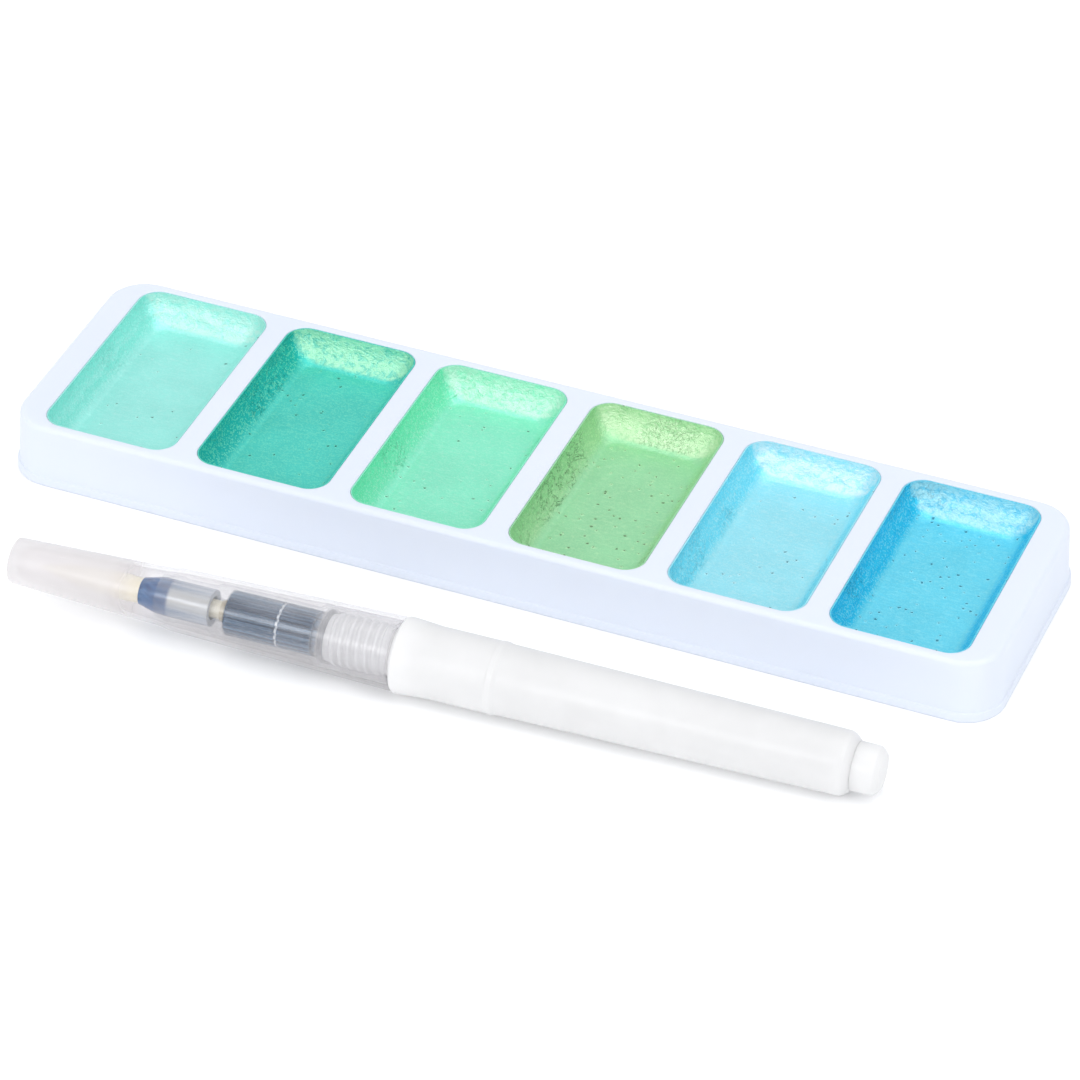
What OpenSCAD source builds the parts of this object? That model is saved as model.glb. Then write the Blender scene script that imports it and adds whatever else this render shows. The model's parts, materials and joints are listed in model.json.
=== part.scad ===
// Watercolour pan set: a moulded tray with six wells of pearl paint, and a
// capped water brush lying in front of it. The origin is at the middle of the
// set's footprint on the table, +X runs along the tray, +Y away from the brush.

/* [Tray] */
// Length of the tray's top face
tray_l = 186.3; // [184:0.1:200]
// Width of the tray's top face
tray_w = 49.3; // [48:0.1:60]
// Height of the tray
tray_h = 12.6; // [11.5:0.1:16]
// Radius of the tray's upright outer corners
tray_corner_r = 7.2; // [4:0.1:10]
// Radius of the rounded edge around the top face
tray_edge_r = 0.9; // [0.4:0.1:1.2]
// How far each end leans out from top to foot
end_lean = 0.65; // [0:0.05:1.5]
// How far each long side leans out from top to foot
side_lean = 0.15; // [0:0.05:1]
// How far the foot lip stands out of the side
foot_lip = 0.35; // [0.1:0.05:0.6]
// Height of the foot lip
foot_h = 2; // [1:0.1:3]
// Wall thickness of the moulding
tray_wall = 1.5; // [1:0.1:1.8]

/* [Wells] */
// Length of a well along the tray
well_w = 25.6; // [22:0.1:26]
// Width of a well across the tray
well_l = 45.3; // [38:0.1:45.5]
// Spacing of the wells
well_pitch = 29.85; // [29.5:0.05:30.5]
// Extra width of the rib at the middle of the tray
middle_extra = 0.4; // [0:0.1:1]
// Upright corner radius of a well
well_r = 4; // [2:0.1:6]
// Depth of a well, without its paint
well_depth = 9; // [7:0.1:9.5]
// How far each wall of a well leans in from rim to floor
well_lean = 0.5; // [0:0.1:1]

/* [Paint] */
// Depth of the dried paint's surface below the rim, in the middle
paint_drop = 5.6; // [3:0.1:6]
// Width of the curve where the paint climbs the walls
paint_climb = 4.2; // [3:0.1:7]
// Thickness of the paint coat at the rim
paint_coat = 0.3; // [0.2:0.05:0.6]
// Gap between the paint's upper edge and the rim
paint_below_rim = 0.15; // [0.05:0.05:0.5]

/* [Brush place] */
// X of the brush's datum, from which places along the brush are measured
datum_x = -75.25; // [-90:0.05:-70]
// Distance from the wells' middle line to the brush's axis, at the middle of the tray
brush_gap = 52.2; // [45:0.1:80]
// Angle of the brush to the tray
brush_yaw = 2.4; // [-5:0.1:5]

/* [Cap] */
// Length of the cap
cap_l = 71.95; // [71.9:0.05:72]
// Distance from the cap's tip to the brush's datum
cap_lead = 1.05; // [1:0.05:1.2]
// Radius of the cap's closed tip
cap_tip_r = 4.1; // [4:0.05:4.3]
// Radius of the cap's slim part, next to its step
cap_slim_r = 5.14; // [5.1:0.02:5.2]
// Radius of the cap just behind its step
cap_step_r = 5.57; // [5.5:0.02:5.6]
// Radius of the cap's mouth
cap_mouth_r = 6.58; // [6.5:0.02:6.7]

/* [Head] */
// Pitch of the thread that joins the head to the barrel
thread_pitch = 1.55; // [1.5:0.05:1.8]
// Crest radius of the barrel's thread
thread_crest_r = 4.65; // [4.55:0.05:4.7]
// Radius of the neck between the threads
thread_root_r = 4.15; // [4.1:0.05:4.2]
// Gap between the two threads
thread_gap = 0.17; // [0.15:0.01:0.2]
// Radius of the bore that holds the fluted feed inside the head
feed_r = 4.05; // [3.8:0.05:4.05]
// Number of capillary flutes around the feed
flute_count = 18; // [8:1:24]
// Largest radius of the bristle tuft
tuft_r = 2.35; // [2:0.05:2.4]

/* [Barrel] */
// Length of the brush with its cap on
brush_l = 159.1; // [158:0.1:169]
// Radius of the collar behind the cap
collar_r = 6.77; // [6.7:0.01:6.9]
// Radius of the barrel's straight grip
grip_r = 6.41; // [6.3:0.01:6.5]
// Radius of the barrel at its rear shoulder
shoulder_r = 5.67; // [5.4:0.01:5.9]
// Wall thickness of the squeezable reservoir
barrel_wall = 0.9; // [0.7:0.05:1]
// Radius of the plug at the barrel's rear end
plug_r = 4.35; // [4.1:0.05:4.5]

/* [Hidden] */

well_count = 6;
paint_colours = ["#9febe2", "#5dcec0", "#91ebca", "#9bdaaa", "#a1e4f4", "#73d7ee"];

// half sizes of the tray's footprint, foot lip included
foot_half_l = tray_l / 2 + end_lean + foot_lip;
foot_half_w = tray_w / 2 + side_lean + foot_lip;

// places along the brush, measured from its datum
cap_end_s = cap_l - cap_lead;
brush_end_s = brush_l - cap_lead;
cap_slim_s = 26.8;
cap_step_s = 29.8;
sleeve_front_s = 26.6;
sleeve_tube_s = 37.4;
skirt_s = 56.2;
seal_s = 57.75;
neck_s = 58.3;
thread_start_s = 59.6;
thread_end_s = 68.1;
skirt_end_s = 70.3;
collar_s = 72.1;
grip_s = 77.7;
ring_s = 89.3;
shoulder_s = 151.65;
barrel_end_s = 153.15;
plug_root_s = 149.4;

// bore of the barrel's rear end, and the gap around parts that are pushed in by hand
plug_bore_r = 3.6;
push_gap = 0.03;

// the brush rests on its collar and its rear shoulder, so its axis dips to the rear
brush_dip = atan((collar_r - shoulder_r) / (shoulder_s - collar_s));
datum_z = collar_s * sin(brush_dip) + collar_r * cos(brush_dip);
// front edge of the brush, measured from the wells' middle line
collar_x = datum_x + collar_s * cos(brush_dip) * cos(brush_yaw);
brush_front = brush_gap - collar_x * tan(brush_yaw) + collar_r * cos(brush_yaw);
// shifts the whole set so that the origin is at the middle of its footprint
tray_y = (brush_front - foot_half_w) / 2;

sliver = 0.01;
corner_steps = 8;
dish_steps = 7;
steps_per_turn = 20;

function rounded_outline(l, w, r) =
    [for (quarter = [0:3], step = [0:corner_steps])
        let (a = 90 * quarter + 90 * step / corner_steps,
             sx = (quarter == 0 || quarter == 3) ? 1 : -1,
             sy = quarter < 2 ? 1 : -1)
        [sx * (l / 2 - r) + r * cos(a), sy * (w / 2 - r) + r * sin(a)]];

function well_x(i) = (i - (well_count - 1) / 2) * well_pitch
    + (i < well_count / 2 ? -1 : 1) * middle_extra / 2;

// flat rounded plate whose lower face is at height z
module plate(l, w, r, z) {
    translate([0, 0, z]) linear_extrude(sliver) polygon(rounded_outline(l, w, r));
}

// leaning block between two rounded plates
module leaning_block(l, w, r, z_low, z_high, lean_l, lean_w) {
    hull() {
        plate(l, w, r, z_high - sliver);
        plate(l + 2 * lean_l, w + 2 * lean_w, r + min(lean_l, lean_w), z_low);
    }
}

module tray_outside() {
    hull() {
        for (a = [0:22.5:90]) {
            inset = tray_edge_r * (1 - cos(a));
            plate(tray_l - 2 * inset, tray_w - 2 * inset, tray_corner_r - inset,
                  tray_h - tray_edge_r * (1 - sin(a)) - sliver);
        }
        plate(tray_l + 2 * end_lean, tray_w + 2 * side_lean, tray_corner_r + side_lean, 0);
    }
    linear_extrude(foot_h)
        polygon(rounded_outline(2 * foot_half_l, 2 * foot_half_w, tray_corner_r + foot_lip));
}

module well_pocket(grow = 0) {
    leaning_block(well_w + 2 * grow, well_l + 2 * grow, well_r + grow,
                  tray_h - well_depth - grow, tray_h, -well_lean, -well_lean);
}

module tray() {
    color("#e6eef8") translate([0, tray_y, 0]) difference() {
        tray_outside();
        // the underside is hollow between the skirt and the well cups
        difference() {
            leaning_block(tray_l - 2 * tray_wall, tray_w - 2 * tray_wall,
                          tray_corner_r - tray_wall, -1, tray_h - tray_wall,
                          end_lean, side_lean);
            for (i = [0:well_count - 1]) translate([well_x(i), 0, 0]) well_pocket(tray_wall);
        }
        for (i = [0:well_count - 1]) translate([well_x(i), 0, 0]) {
            well_pocket();
            plate(well_w, well_l, well_r, tray_h - sliver / 2);
        }
    }
}

// dried paint that fills the foot of a well and climbs its walls in a smooth curve
module paint(i) {
    dish_l = well_w - 2 * paint_coat;
    dish_w = well_l - 2 * paint_coat;
    color(paint_colours[i]) translate([well_x(i), tray_y, 0]) difference() {
        intersection() {
            well_pocket();
            translate([-well_w, -well_l, 0])
                cube([2 * well_w, 2 * well_l, tray_h - paint_below_rim]);
        }
        hull() {
            plate(dish_l, dish_w, well_r - paint_coat, tray_h);
            for (k = [0:dish_steps]) {
                a = 90 * k / dish_steps;
                inset = paint_climb * (1 - cos(a));
                plate(dish_l - 2 * inset, dish_w - 2 * inset,
                      max(well_r - paint_coat - inset / 3, 1),
                      tray_h - paint_below_rim - (paint_drop - paint_below_rim) * sin(a));
            }
        }
    }
}

// puts a shape that is drawn along +Z, from the brush's datum, onto the brush's axis
module on_brush() {
    translate([datum_x, tray_y - brush_gap + datum_x * tan(brush_yaw), datum_z])
        rotate([0, 90 + brush_dip, brush_yaw]) children();
}

// turned piece on the brush's axis; points are [radius, distance from the datum]
module turned(points, sides = 72) {
    rotate_extrude($fn = sides) polygon(points);
}

// helical ridge on the axis, of the barrel thread's section grown by a gap
module thread(from_s, to_s, gap, taper_turns) {
    root_half = 0.55 + gap;
    crest_half = 0.2 + gap;
    root_r = thread_root_r - (gap > 0 ? 0.4 : 0.2);
    crest_r = thread_crest_r + gap;
    steps = round((to_s - from_s) / thread_pitch * steps_per_turn);
    section = [for (k = [0:steps])
        let (s = from_s + k * thread_pitch / steps_per_turn,
             a = 360 * s / thread_pitch,
             edge = min(k, steps - k) / steps_per_turn,
             rise = taper_turns > 0 ? min(1, edge / taper_turns) : 1,
             top_r = root_r + 0.25 + (crest_r - root_r - 0.25) * rise)
        [for (p = [[root_r, -root_half], [top_r, -crest_half], [top_r, crest_half],
                   [root_r, root_half]])
            [p[0] * cos(a), p[0] * sin(a), s + p[1]]]];
    sides = [for (k = [0:steps - 1], j = [0:3])
        let (n = (j + 1) % 4)
        each [[4 * k + j, 4 * k + n, 4 * (k + 1) + j],
              [4 * k + n, 4 * (k + 1) + n, 4 * (k + 1) + j]]];
    ends = [[3, 2, 1, 0], [4 * steps, 4 * steps + 1, 4 * steps + 2, 4 * steps + 3]];
    polyhedron([for (ring = section) each ring], concat(sides, ends));
}

module cap() {
    color("#f4f1f2", 0.6) on_brush() turned([
        [0, -cap_lead], [cap_tip_r - 1, -cap_lead], [cap_tip_r - 0.3, 0.3 - cap_lead],
        [cap_tip_r, 1 - cap_lead], [cap_slim_r, cap_slim_s],
        [cap_slim_r + 0.06, cap_step_s - 1.8], [cap_step_r, cap_step_s],
        [cap_mouth_r, cap_end_s - 0.2], [cap_mouth_r - 0.2, cap_end_s],
        [cap_mouth_r - 0.83, cap_end_s], [5.53, skirt_s], [5.43, skirt_s - 0.6],
        [cap_step_r - 0.8, cap_step_s + 0.6], [cap_slim_r - 0.75, cap_slim_s],
        [cap_tip_r - 1, 2.2 - cap_lead], [cap_tip_r - 1.6, 1.4 - cap_lead],
        [0, 1.4 - cap_lead]]);
}

module bristles() {
    color("#f6f0dc") on_brush() turned([
        [0, 3.6], [0.35, 4.4], [0.9, 6.2], [1.5, 9.2], [2, 13], [tuft_r - 0.08, 17],
        [tuft_r, 20], [2.2, 23.2], [1.95, 27], [1.65, 32], [1.6, 38.2], [0, 38.2]], 48);
}

module bristle_binder() {
    color("#cdb98e") on_brush() turned([
        [0, 38.2], [1.9, 38.2], [1.9, 39.3], [1.7, 39.5], [0, 39.5]], 48);
}

module ferrule() {
    color("#1f3a66") on_brush() turned([
        [2.2, 23.2], [2.45, 23.2], [3.3, sleeve_front_s], [3.3, 36.5], [2.1, 36.5],
        [1.8, 34], [1.65, 32], [1.95, 27]]);
}

module head_sleeve() {
    color("#e8eef4", 0.5) on_brush() difference() {
        turned([
            [3.3, sleeve_front_s], [3.75, sleeve_front_s], [3.85, 26.9], [3.85, 28.3],
            [4.2, 28.4], [4.2, 28.9], [4, 29], [4, 29.5], [4.2, 29.6], [4.2, 30.1],
            [4, 30.2], [4, 35.3], [4.12, 35.4], [4.12, 35.8], [4, 35.9], [4, 36.4],
            [4.65, sleeve_tube_s], [4.7, skirt_s - 0.3], [5.2, skirt_s], [5.44, skirt_s + 0.3],
            [5.66, skirt_end_s - 0.2], [5.5, skirt_end_s], [4.95, skirt_end_s],
            [thread_root_r + thread_gap, skirt_end_s - 0.7],
            [thread_root_r + thread_gap, seal_s + 0.65], [4.9, seal_s + 0.65],
            [4.9, seal_s - 0.55], [3.6, seal_s - 0.55], [3.6, skirt_s], [feed_r, skirt_s],
            [feed_r, 39.6], [2, 39.6], [2, 37.4], [3.3, 36.6]]);
        thread(thread_start_s - 1.1, skirt_end_s + 1.2, thread_gap, 0);
    }
}

module feed() {
    flute_w = 0.45;
    flute_depth = 0.6;
    outer_r = feed_r - push_gap;
    color("#33506f") on_brush() difference() {
        turned([
            [1.3, 39.7], [outer_r - 0.3, 39.7], [outer_r, 40], [outer_r, 49.1],
            [outer_r - 0.2, 49.2], [outer_r - 0.2, 49.6], [outer_r, 49.7],
            [outer_r, skirt_s - 0.2], [3.5, skirt_s - 0.2],
            [3.5, seal_s + 2.4], [1.3, seal_s + 2.4]]);
        for (k = [0:flute_count - 1]) rotate([0, 0, 360 * k / flute_count])
            translate([outer_r - flute_depth, -flute_w / 2, 39])
                cube([2, flute_w, skirt_s - 40.4]);
    }
}

module o_ring() {
    color("#27364a") on_brush() translate([0, 0, seal_s])
        rotate_extrude($fn = 72) translate([4.25, 0]) circle(r = 0.5, $fn = 24);
}

module barrel() {
    color("#f7f7f7", 0.85) on_brush() {
        turned([
            [3.55, neck_s], [thread_root_r, neck_s], [thread_root_r, collar_s - 2.1],
            [4.8, collar_s - 1.4], [4.8, collar_s - 0.8], [collar_r - 0.2, collar_s - 0.8],
            [collar_r, collar_s - 0.5], [collar_r, collar_s + 0.3],
            [collar_r - 0.17, collar_s + 2.9], [grip_r, grip_s], [grip_r, ring_s - 0.9],
            [grip_r + 0.09, ring_s - 0.6], [grip_r + 0.09, ring_s + 0.4],
            [grip_r - 0.12, ring_s + 1], [shoulder_r, shoulder_s - 0.4],
            [shoulder_r - 0.25, shoulder_s + 0.3], [shoulder_r - 0.75, shoulder_s + 0.95],
            [plug_r + 0.05, barrel_end_s], [plug_bore_r, barrel_end_s], [plug_bore_r, shoulder_s],
            [shoulder_r - barrel_wall, shoulder_s - 1.2], [grip_r - barrel_wall - 0.12, ring_s + 1],
            [grip_r - barrel_wall, grip_s], [grip_r - barrel_wall, collar_s + 3],
            [3.55, collar_s + 1]]);
        thread(thread_start_s, thread_end_s, 0, 0.5);
    }
}

module tail_plug() {
    color("#f4f4f4", 0.85) on_brush() turned([
        [0, plug_root_s], [plug_bore_r - 0.4, plug_root_s],
        [plug_bore_r - push_gap, plug_root_s + 0.5], [plug_bore_r - push_gap, barrel_end_s],
        [plug_r, barrel_end_s], [plug_r, brush_end_s - 1.2],
        [plug_r - 0.35, brush_end_s - 0.35], [plug_r - 1.2, brush_end_s], [0, brush_end_s]]);
}

tray();
paint(0);  // paint_aqua
paint(1);  // paint_teal
paint(2);  // paint_mint
paint(3);  // paint_leaf
paint(4);  // paint_sky
paint(5);  // paint_azure
cap();
bristles();
bristle_binder();
ferrule();
head_sleeve();
feed();
o_ring();
barrel();
tail_plug();
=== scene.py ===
"""Looks of the watercolour pan set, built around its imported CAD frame.

Lengths in this file are in millimetres up to make_object(), which scales them to metres.
The brush is drawn along its own axis: s is the distance from its datum in the cap.
"""

import json
import math

import bmesh
import bpy
import numpy as np
from mathutils import Matrix, Vector, noise


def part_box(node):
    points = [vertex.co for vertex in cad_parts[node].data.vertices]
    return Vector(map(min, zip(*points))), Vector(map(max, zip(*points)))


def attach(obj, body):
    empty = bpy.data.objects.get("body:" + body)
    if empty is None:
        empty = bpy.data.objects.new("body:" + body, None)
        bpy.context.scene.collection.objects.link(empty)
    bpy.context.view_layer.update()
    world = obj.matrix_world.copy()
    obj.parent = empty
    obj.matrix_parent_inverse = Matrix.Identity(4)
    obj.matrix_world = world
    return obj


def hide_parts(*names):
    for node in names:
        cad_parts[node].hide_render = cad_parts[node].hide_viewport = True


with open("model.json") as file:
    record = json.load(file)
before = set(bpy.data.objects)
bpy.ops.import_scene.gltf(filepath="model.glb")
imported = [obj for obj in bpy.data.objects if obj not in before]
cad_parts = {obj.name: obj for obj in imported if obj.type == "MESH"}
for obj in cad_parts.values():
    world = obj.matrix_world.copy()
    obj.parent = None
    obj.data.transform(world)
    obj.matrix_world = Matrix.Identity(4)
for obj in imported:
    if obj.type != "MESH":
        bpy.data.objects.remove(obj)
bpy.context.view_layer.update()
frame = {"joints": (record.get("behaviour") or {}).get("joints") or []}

MM = 0.001

# ---------------------------------------------------------------- places from the frame

tray_low, tray_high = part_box("tray")
TRAY_H = tray_high.z / MM
TRAY_MIDDLE_Y = (tray_low.y + tray_high.y) / 2 / MM
FOOT_HALF_L = (tray_high.x - tray_low.x) / 2 / MM
FOOT_HALF_W = (tray_high.y - tray_low.y) / 2 / MM
PAINT_NAMES = ["aqua", "teal", "mint", "leaf", "sky", "azure"]

head_turn = next(j for j in frame["joints"] if j["name"] == "head_turn")
HEAD_TURN_S = 60
brush_axis = -Vector(head_turn["axis"]).normalized()
brush_datum = Vector(head_turn["pos_m"]) - brush_axis * HEAD_TURN_S * MM
brush_side = Vector((-brush_axis.y, brush_axis.x, 0)).normalized()
brush_down = brush_side.cross(brush_axis)
BRUSH_MATRIX = Matrix.Translation(brush_datum) @ Matrix(
    (brush_down, brush_side, brush_axis)
).transposed().to_4x4()

# sizes of the tray's moulding
END_LEAN = 0.65
SIDE_LEAN = 0.15
FOOT_LIP = 0.35
FOOT_H = 2.0
TRAY_CORNER_R = 7.2
TOP_EDGE_R = 0.9
RIM_EDGE_R = 0.22
WELL_R = 4.0
WELL_DEPTH = 9.0
WELL_LEAN = 0.5
SKIRT_WALL = 1.5
CUP_FLOOR_Z = TRAY_H - WELL_DEPTH - SKIRT_WALL

# sizes of the dried paint
PAINT_TOP_Z = TRAY_H - 0.15
PAINT_DROP = 5.45
PAINT_CLIMB = 4.2
PAINT_COAT = 0.3

# ---------------------------------------------------------------- mesh helpers


def rounded_outline(half_l, half_w, r, cells_l, cells_w):
    """Closed outline of a rounded rectangle with cells_l and cells_w steps to a side."""
    points = []
    sides = (
        (Vector((1, 0)), Vector((0, -1)), half_l, half_w, cells_l),
        (Vector((0, 1)), Vector((1, 0)), half_w, half_l, cells_w),
        (Vector((-1, 0)), Vector((0, 1)), half_l, half_w, cells_l),
        (Vector((0, -1)), Vector((-1, 0)), half_w, half_l, cells_w),
    )
    for along, outward, reach, distance, cells in sides:
        for k in range(cells):
            run = -reach + 2 * reach * k / cells
            past = max(abs(run) - (reach - r), 0)
            turn = past / r * math.pi / 4
            x = math.copysign(reach - r + r * math.sin(turn), run) if past else run
            drop = r * (1 - math.cos(turn))
            points.append(along * x + outward * (distance - drop))
    return points


def ring_at(outline, z, shift_x=0.0, shift_y=0.0):
    return [Vector((p.x + shift_x, p.y + shift_y, z)) for p in outline]


def add_ring(bm, points):
    return [bm.verts.new(p) for p in points]


def join_rings(bm, one, other):
    """Quads between two rings of the same length."""
    count = len(one)
    for k in range(count):
        n = (k + 1) % count
        bm.faces.new((one[k], one[n], other[n], other[k]))


def loft(bm, rings):
    made = [add_ring(bm, ring) for ring in rings]
    for one, other in zip(made, made[1:]):
        join_rings(bm, one, other)
    return made


def ring_edges(bm, ring):
    return [bm.edges.get((ring[k], ring[(k + 1) % len(ring)])) for k in range(len(ring))]


def fill_between(bm, rings):
    """Flat face with the first ring as its border and the others as holes."""
    edges = [edge for ring in rings for edge in ring_edges(bm, ring)]
    bmesh.ops.triangle_fill(bm, use_beauty=True, use_dissolve=False, edges=edges)


def paint_place(name):
    """Middle (x, y), half sizes along x and y, and underside of a paint's CAD block."""
    low, high = (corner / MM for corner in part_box("paint_" + name))
    middle = (low + high) / 2
    half = (high - low) / 2
    return middle.x, middle.y, half.x, half.y, low.z


def make_object(name, bm, material, body, stands_for, sharp_angle=40, matrix=None):
    """Turns a bmesh in millimetres into a smooth-shaded piece that rides on its body."""
    bmesh.ops.recalc_face_normals(bm, faces=bm.faces)
    mesh = bpy.data.meshes.new(name)
    bm.to_mesh(mesh)
    bm.free()
    mesh.transform(Matrix.Scale(MM, 4))
    if matrix:
        mesh.transform(matrix)
    mesh.shade_smooth()
    mesh.set_sharp_from_angle(angle=math.radians(sharp_angle))
    piece = bpy.data.objects.new(name, mesh)
    bpy.context.scene.collection.objects.link(piece)
    mesh.materials.append(material)
    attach(piece, body)
    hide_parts(*stands_for)
    return piece


def weight_normals(piece):
    """Keeps large flat faces flat where they meet small rounded edges."""
    modifier = piece.modifiers.new("weighted normals", "WEIGHTED_NORMAL")
    modifier.keep_sharp = True
    modifier.weight = 90


def rounded_profile(points, closed):
    """Rounds the corners of a profile of (radius, s, corner radius) points."""
    out = []
    count = len(points)
    for k, (r, s, corner) in enumerate(points):
        here = Vector((r, s))
        if corner <= 0 or (not closed and k in (0, count - 1)):
            out.append((r, s))
            continue
        before = Vector(points[k - 1][:2])
        after = Vector(points[(k + 1) % count][:2])
        back, ahead = (before - here), (after - here)
        half_angle = back.angle(ahead) / 2
        reach = min(corner / math.tan(half_angle), 0.49 * back.length, 0.49 * ahead.length)
        start = here + back.normalized() * reach
        end = here + ahead.normalized() * reach
        steps = 5
        for i in range(steps + 1):
            t = i / steps
            spot = start * (1 - t) ** 2 + here * 2 * t * (1 - t) + end * t**2
            out.append((spot.x, spot.y))
    return out


def turned(bm, profile, sides=128, radius_at=None, closed=False):
    """Turns a profile of (radius, s) points round the brush's axis. radius_at may vary it."""
    rings = []
    angles = [2 * math.pi * k / sides for k in range(sides)]
    for r, s in profile:
        if r < 1e-6:
            rings.append([bm.verts.new((0, 0, s))])
            continue
        reach = [radius_at(r, s, a) if radius_at else r for a in angles]
        rings.append([bm.verts.new((q * math.cos(a), q * math.sin(a), s))
                      for q, a in zip(reach, angles)])
    pairs = list(zip(rings, rings[1:]))
    if closed:
        pairs.append((rings[-1], rings[0]))
    for one, other in pairs:
        if len(one) == 1 and len(other) == 1:
            continue
        if len(one) == 1 or len(other) == 1:
            pole, ring = (one[0], other) if len(one) == 1 else (other[0], one)
            for k in range(sides):
                bm.faces.new((pole, ring[k], ring[(k + 1) % sides]))
            continue
        join_rings(bm, one, other)


def brush_piece(name, profiles, material, body, sides=128, radius_at=None, clear=False):
    """A piece of the brush made of turned profiles; each is (points, closed).

    A clear piece casts no shadow, as the light it scatters still reaches what is behind it.
    """
    bm = bmesh.new()
    for points, closed in profiles:
        turned(bm, rounded_profile(points, closed), sides, radius_at, closed)
    piece = make_object(name, bm, material, body, [name], matrix=BRUSH_MATRIX)
    piece.visible_shadow = not clear
    return piece


# ---------------------------------------------------------------- material helpers


class Nodes:
    """Small helper for building one material's node tree."""

    def __init__(self, name):
        self.material = bpy.data.materials.new(name)
        self.material.use_nodes = True
        self.tree = self.material.node_tree
        self.shader = self.tree.nodes["Principled BSDF"]
        self.place = self.add("ShaderNodeTexCoord").outputs["Object"]

    def add(self, kind, inputs=None, **settings):
        node = self.tree.nodes.new(kind)
        for key, value in settings.items():
            setattr(node, key, value)
        for key, value in (inputs or {}).items():
            self.set(node.inputs[key], value)
        return node

    def place_on_brush(self):
        """Puts the textures in the brush's own axes, with the third along it."""
        place = self.add("ShaderNodeVectorMath", {0: self.place, 1: tuple(brush_datum)},
                         operation="SUBTRACT").outputs[0]
        parts = [self.add("ShaderNodeVectorMath", {0: place, 1: tuple(direction)},
                          operation="DOT_PRODUCT").outputs["Value"]
                 for direction in (brush_down, brush_side, brush_axis)]
        self.along = parts[2]
        self.place = self.add("ShaderNodeCombineXYZ", dict(enumerate(parts))).outputs[0]

    def set(self, socket, value):
        if isinstance(value, bpy.types.NodeSocket):
            self.tree.links.new(value, socket)
        else:
            socket.default_value = value

    def shade(self, **inputs):
        for key, value in inputs.items():
            self.set(self.shader.inputs[key.replace("_", " ")], value)

    def math(self, operation, one, other=0.0, clamp=False):
        node = self.add("ShaderNodeMath", {0: one, 1: other}, operation=operation)
        node.use_clamp = clamp
        return node.outputs[0]

    def ramp(self, value, low, high, to_low=0.0, to_high=1.0):
        node = self.add(
            "ShaderNodeMapRange",
            {"Value": value, "From Min": low, "From Max": high, "To Min": to_low,
             "To Max": to_high},
            interpolation_type="SMOOTHSTEP",
        )
        return node.outputs["Result"]

    def noise(self, scale, detail=3.0, roughness=0.5, stretch=None, distortion=0.0):
        place = self.place
        if stretch:
            place = self.add("ShaderNodeMapping", {"Vector": place, "Scale": stretch}).outputs[0]
        node = self.add(
            "ShaderNodeTexNoise",
            {"Vector": place, "Scale": scale, "Detail": detail, "Roughness": roughness,
             "Distortion": distortion},
        )
        return node.outputs["Fac"]

    def mix(self, amount, one, other):
        """Blends two colours. Inputs 6 and 7 and output 2 are the node's colour sockets."""
        node = self.add("ShaderNodeMix", data_type="RGBA")
        self.set(node.inputs["Factor"], amount)
        self.set(node.inputs[6], one)
        self.set(node.inputs[7], other)
        return node.outputs[2]

    def bump(self, height, strength, distance, under=None):
        node = self.add("ShaderNodeBump", {"Height": height, "Strength": strength,
                                           "Distance": distance})
        if under:
            self.set(node.inputs["Normal"], under)
        return node.outputs["Normal"]


def rgba(colour, factor=1.0):
    return tuple(min(c * factor, 1.0) for c in colour) + (1.0,)


# ---------------------------------------------------------------- materials


def tray_plastic():
    """Cool white moulded plastic, satin, with a faint grain and handling smears."""
    m = Nodes("tray_plastic")
    cloud = m.noise(38, 3)
    smear = m.noise(90, 4, 0.6, stretch=(0.35, 1, 1), distortion=0.6)
    grain = m.noise(3800, 2)
    waviness = m.noise(160, 2)
    tone = m.mix(m.ramp(cloud, 0.35, 0.65), (0.700, 0.750, 0.855, 1), (0.714, 0.763, 0.865, 1))
    under = m.bump(waviness, 0.12, 0.0004)
    m.shade(
        Base_Color=tone,
        Roughness=m.ramp(smear, 0.3, 0.75, 0.38, 0.50),
        Normal=m.bump(grain, 0.10, 0.00006, under),
        IOR=1.55,
        Subsurface_Weight=0.12,
        Subsurface_Radius=(0.0025, 0.0030, 0.0036),
        Subsurface_Scale=1.0,
        Coat_Weight=0.05,
        Coat_Roughness=0.22,
    )
    return m.material


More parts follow.
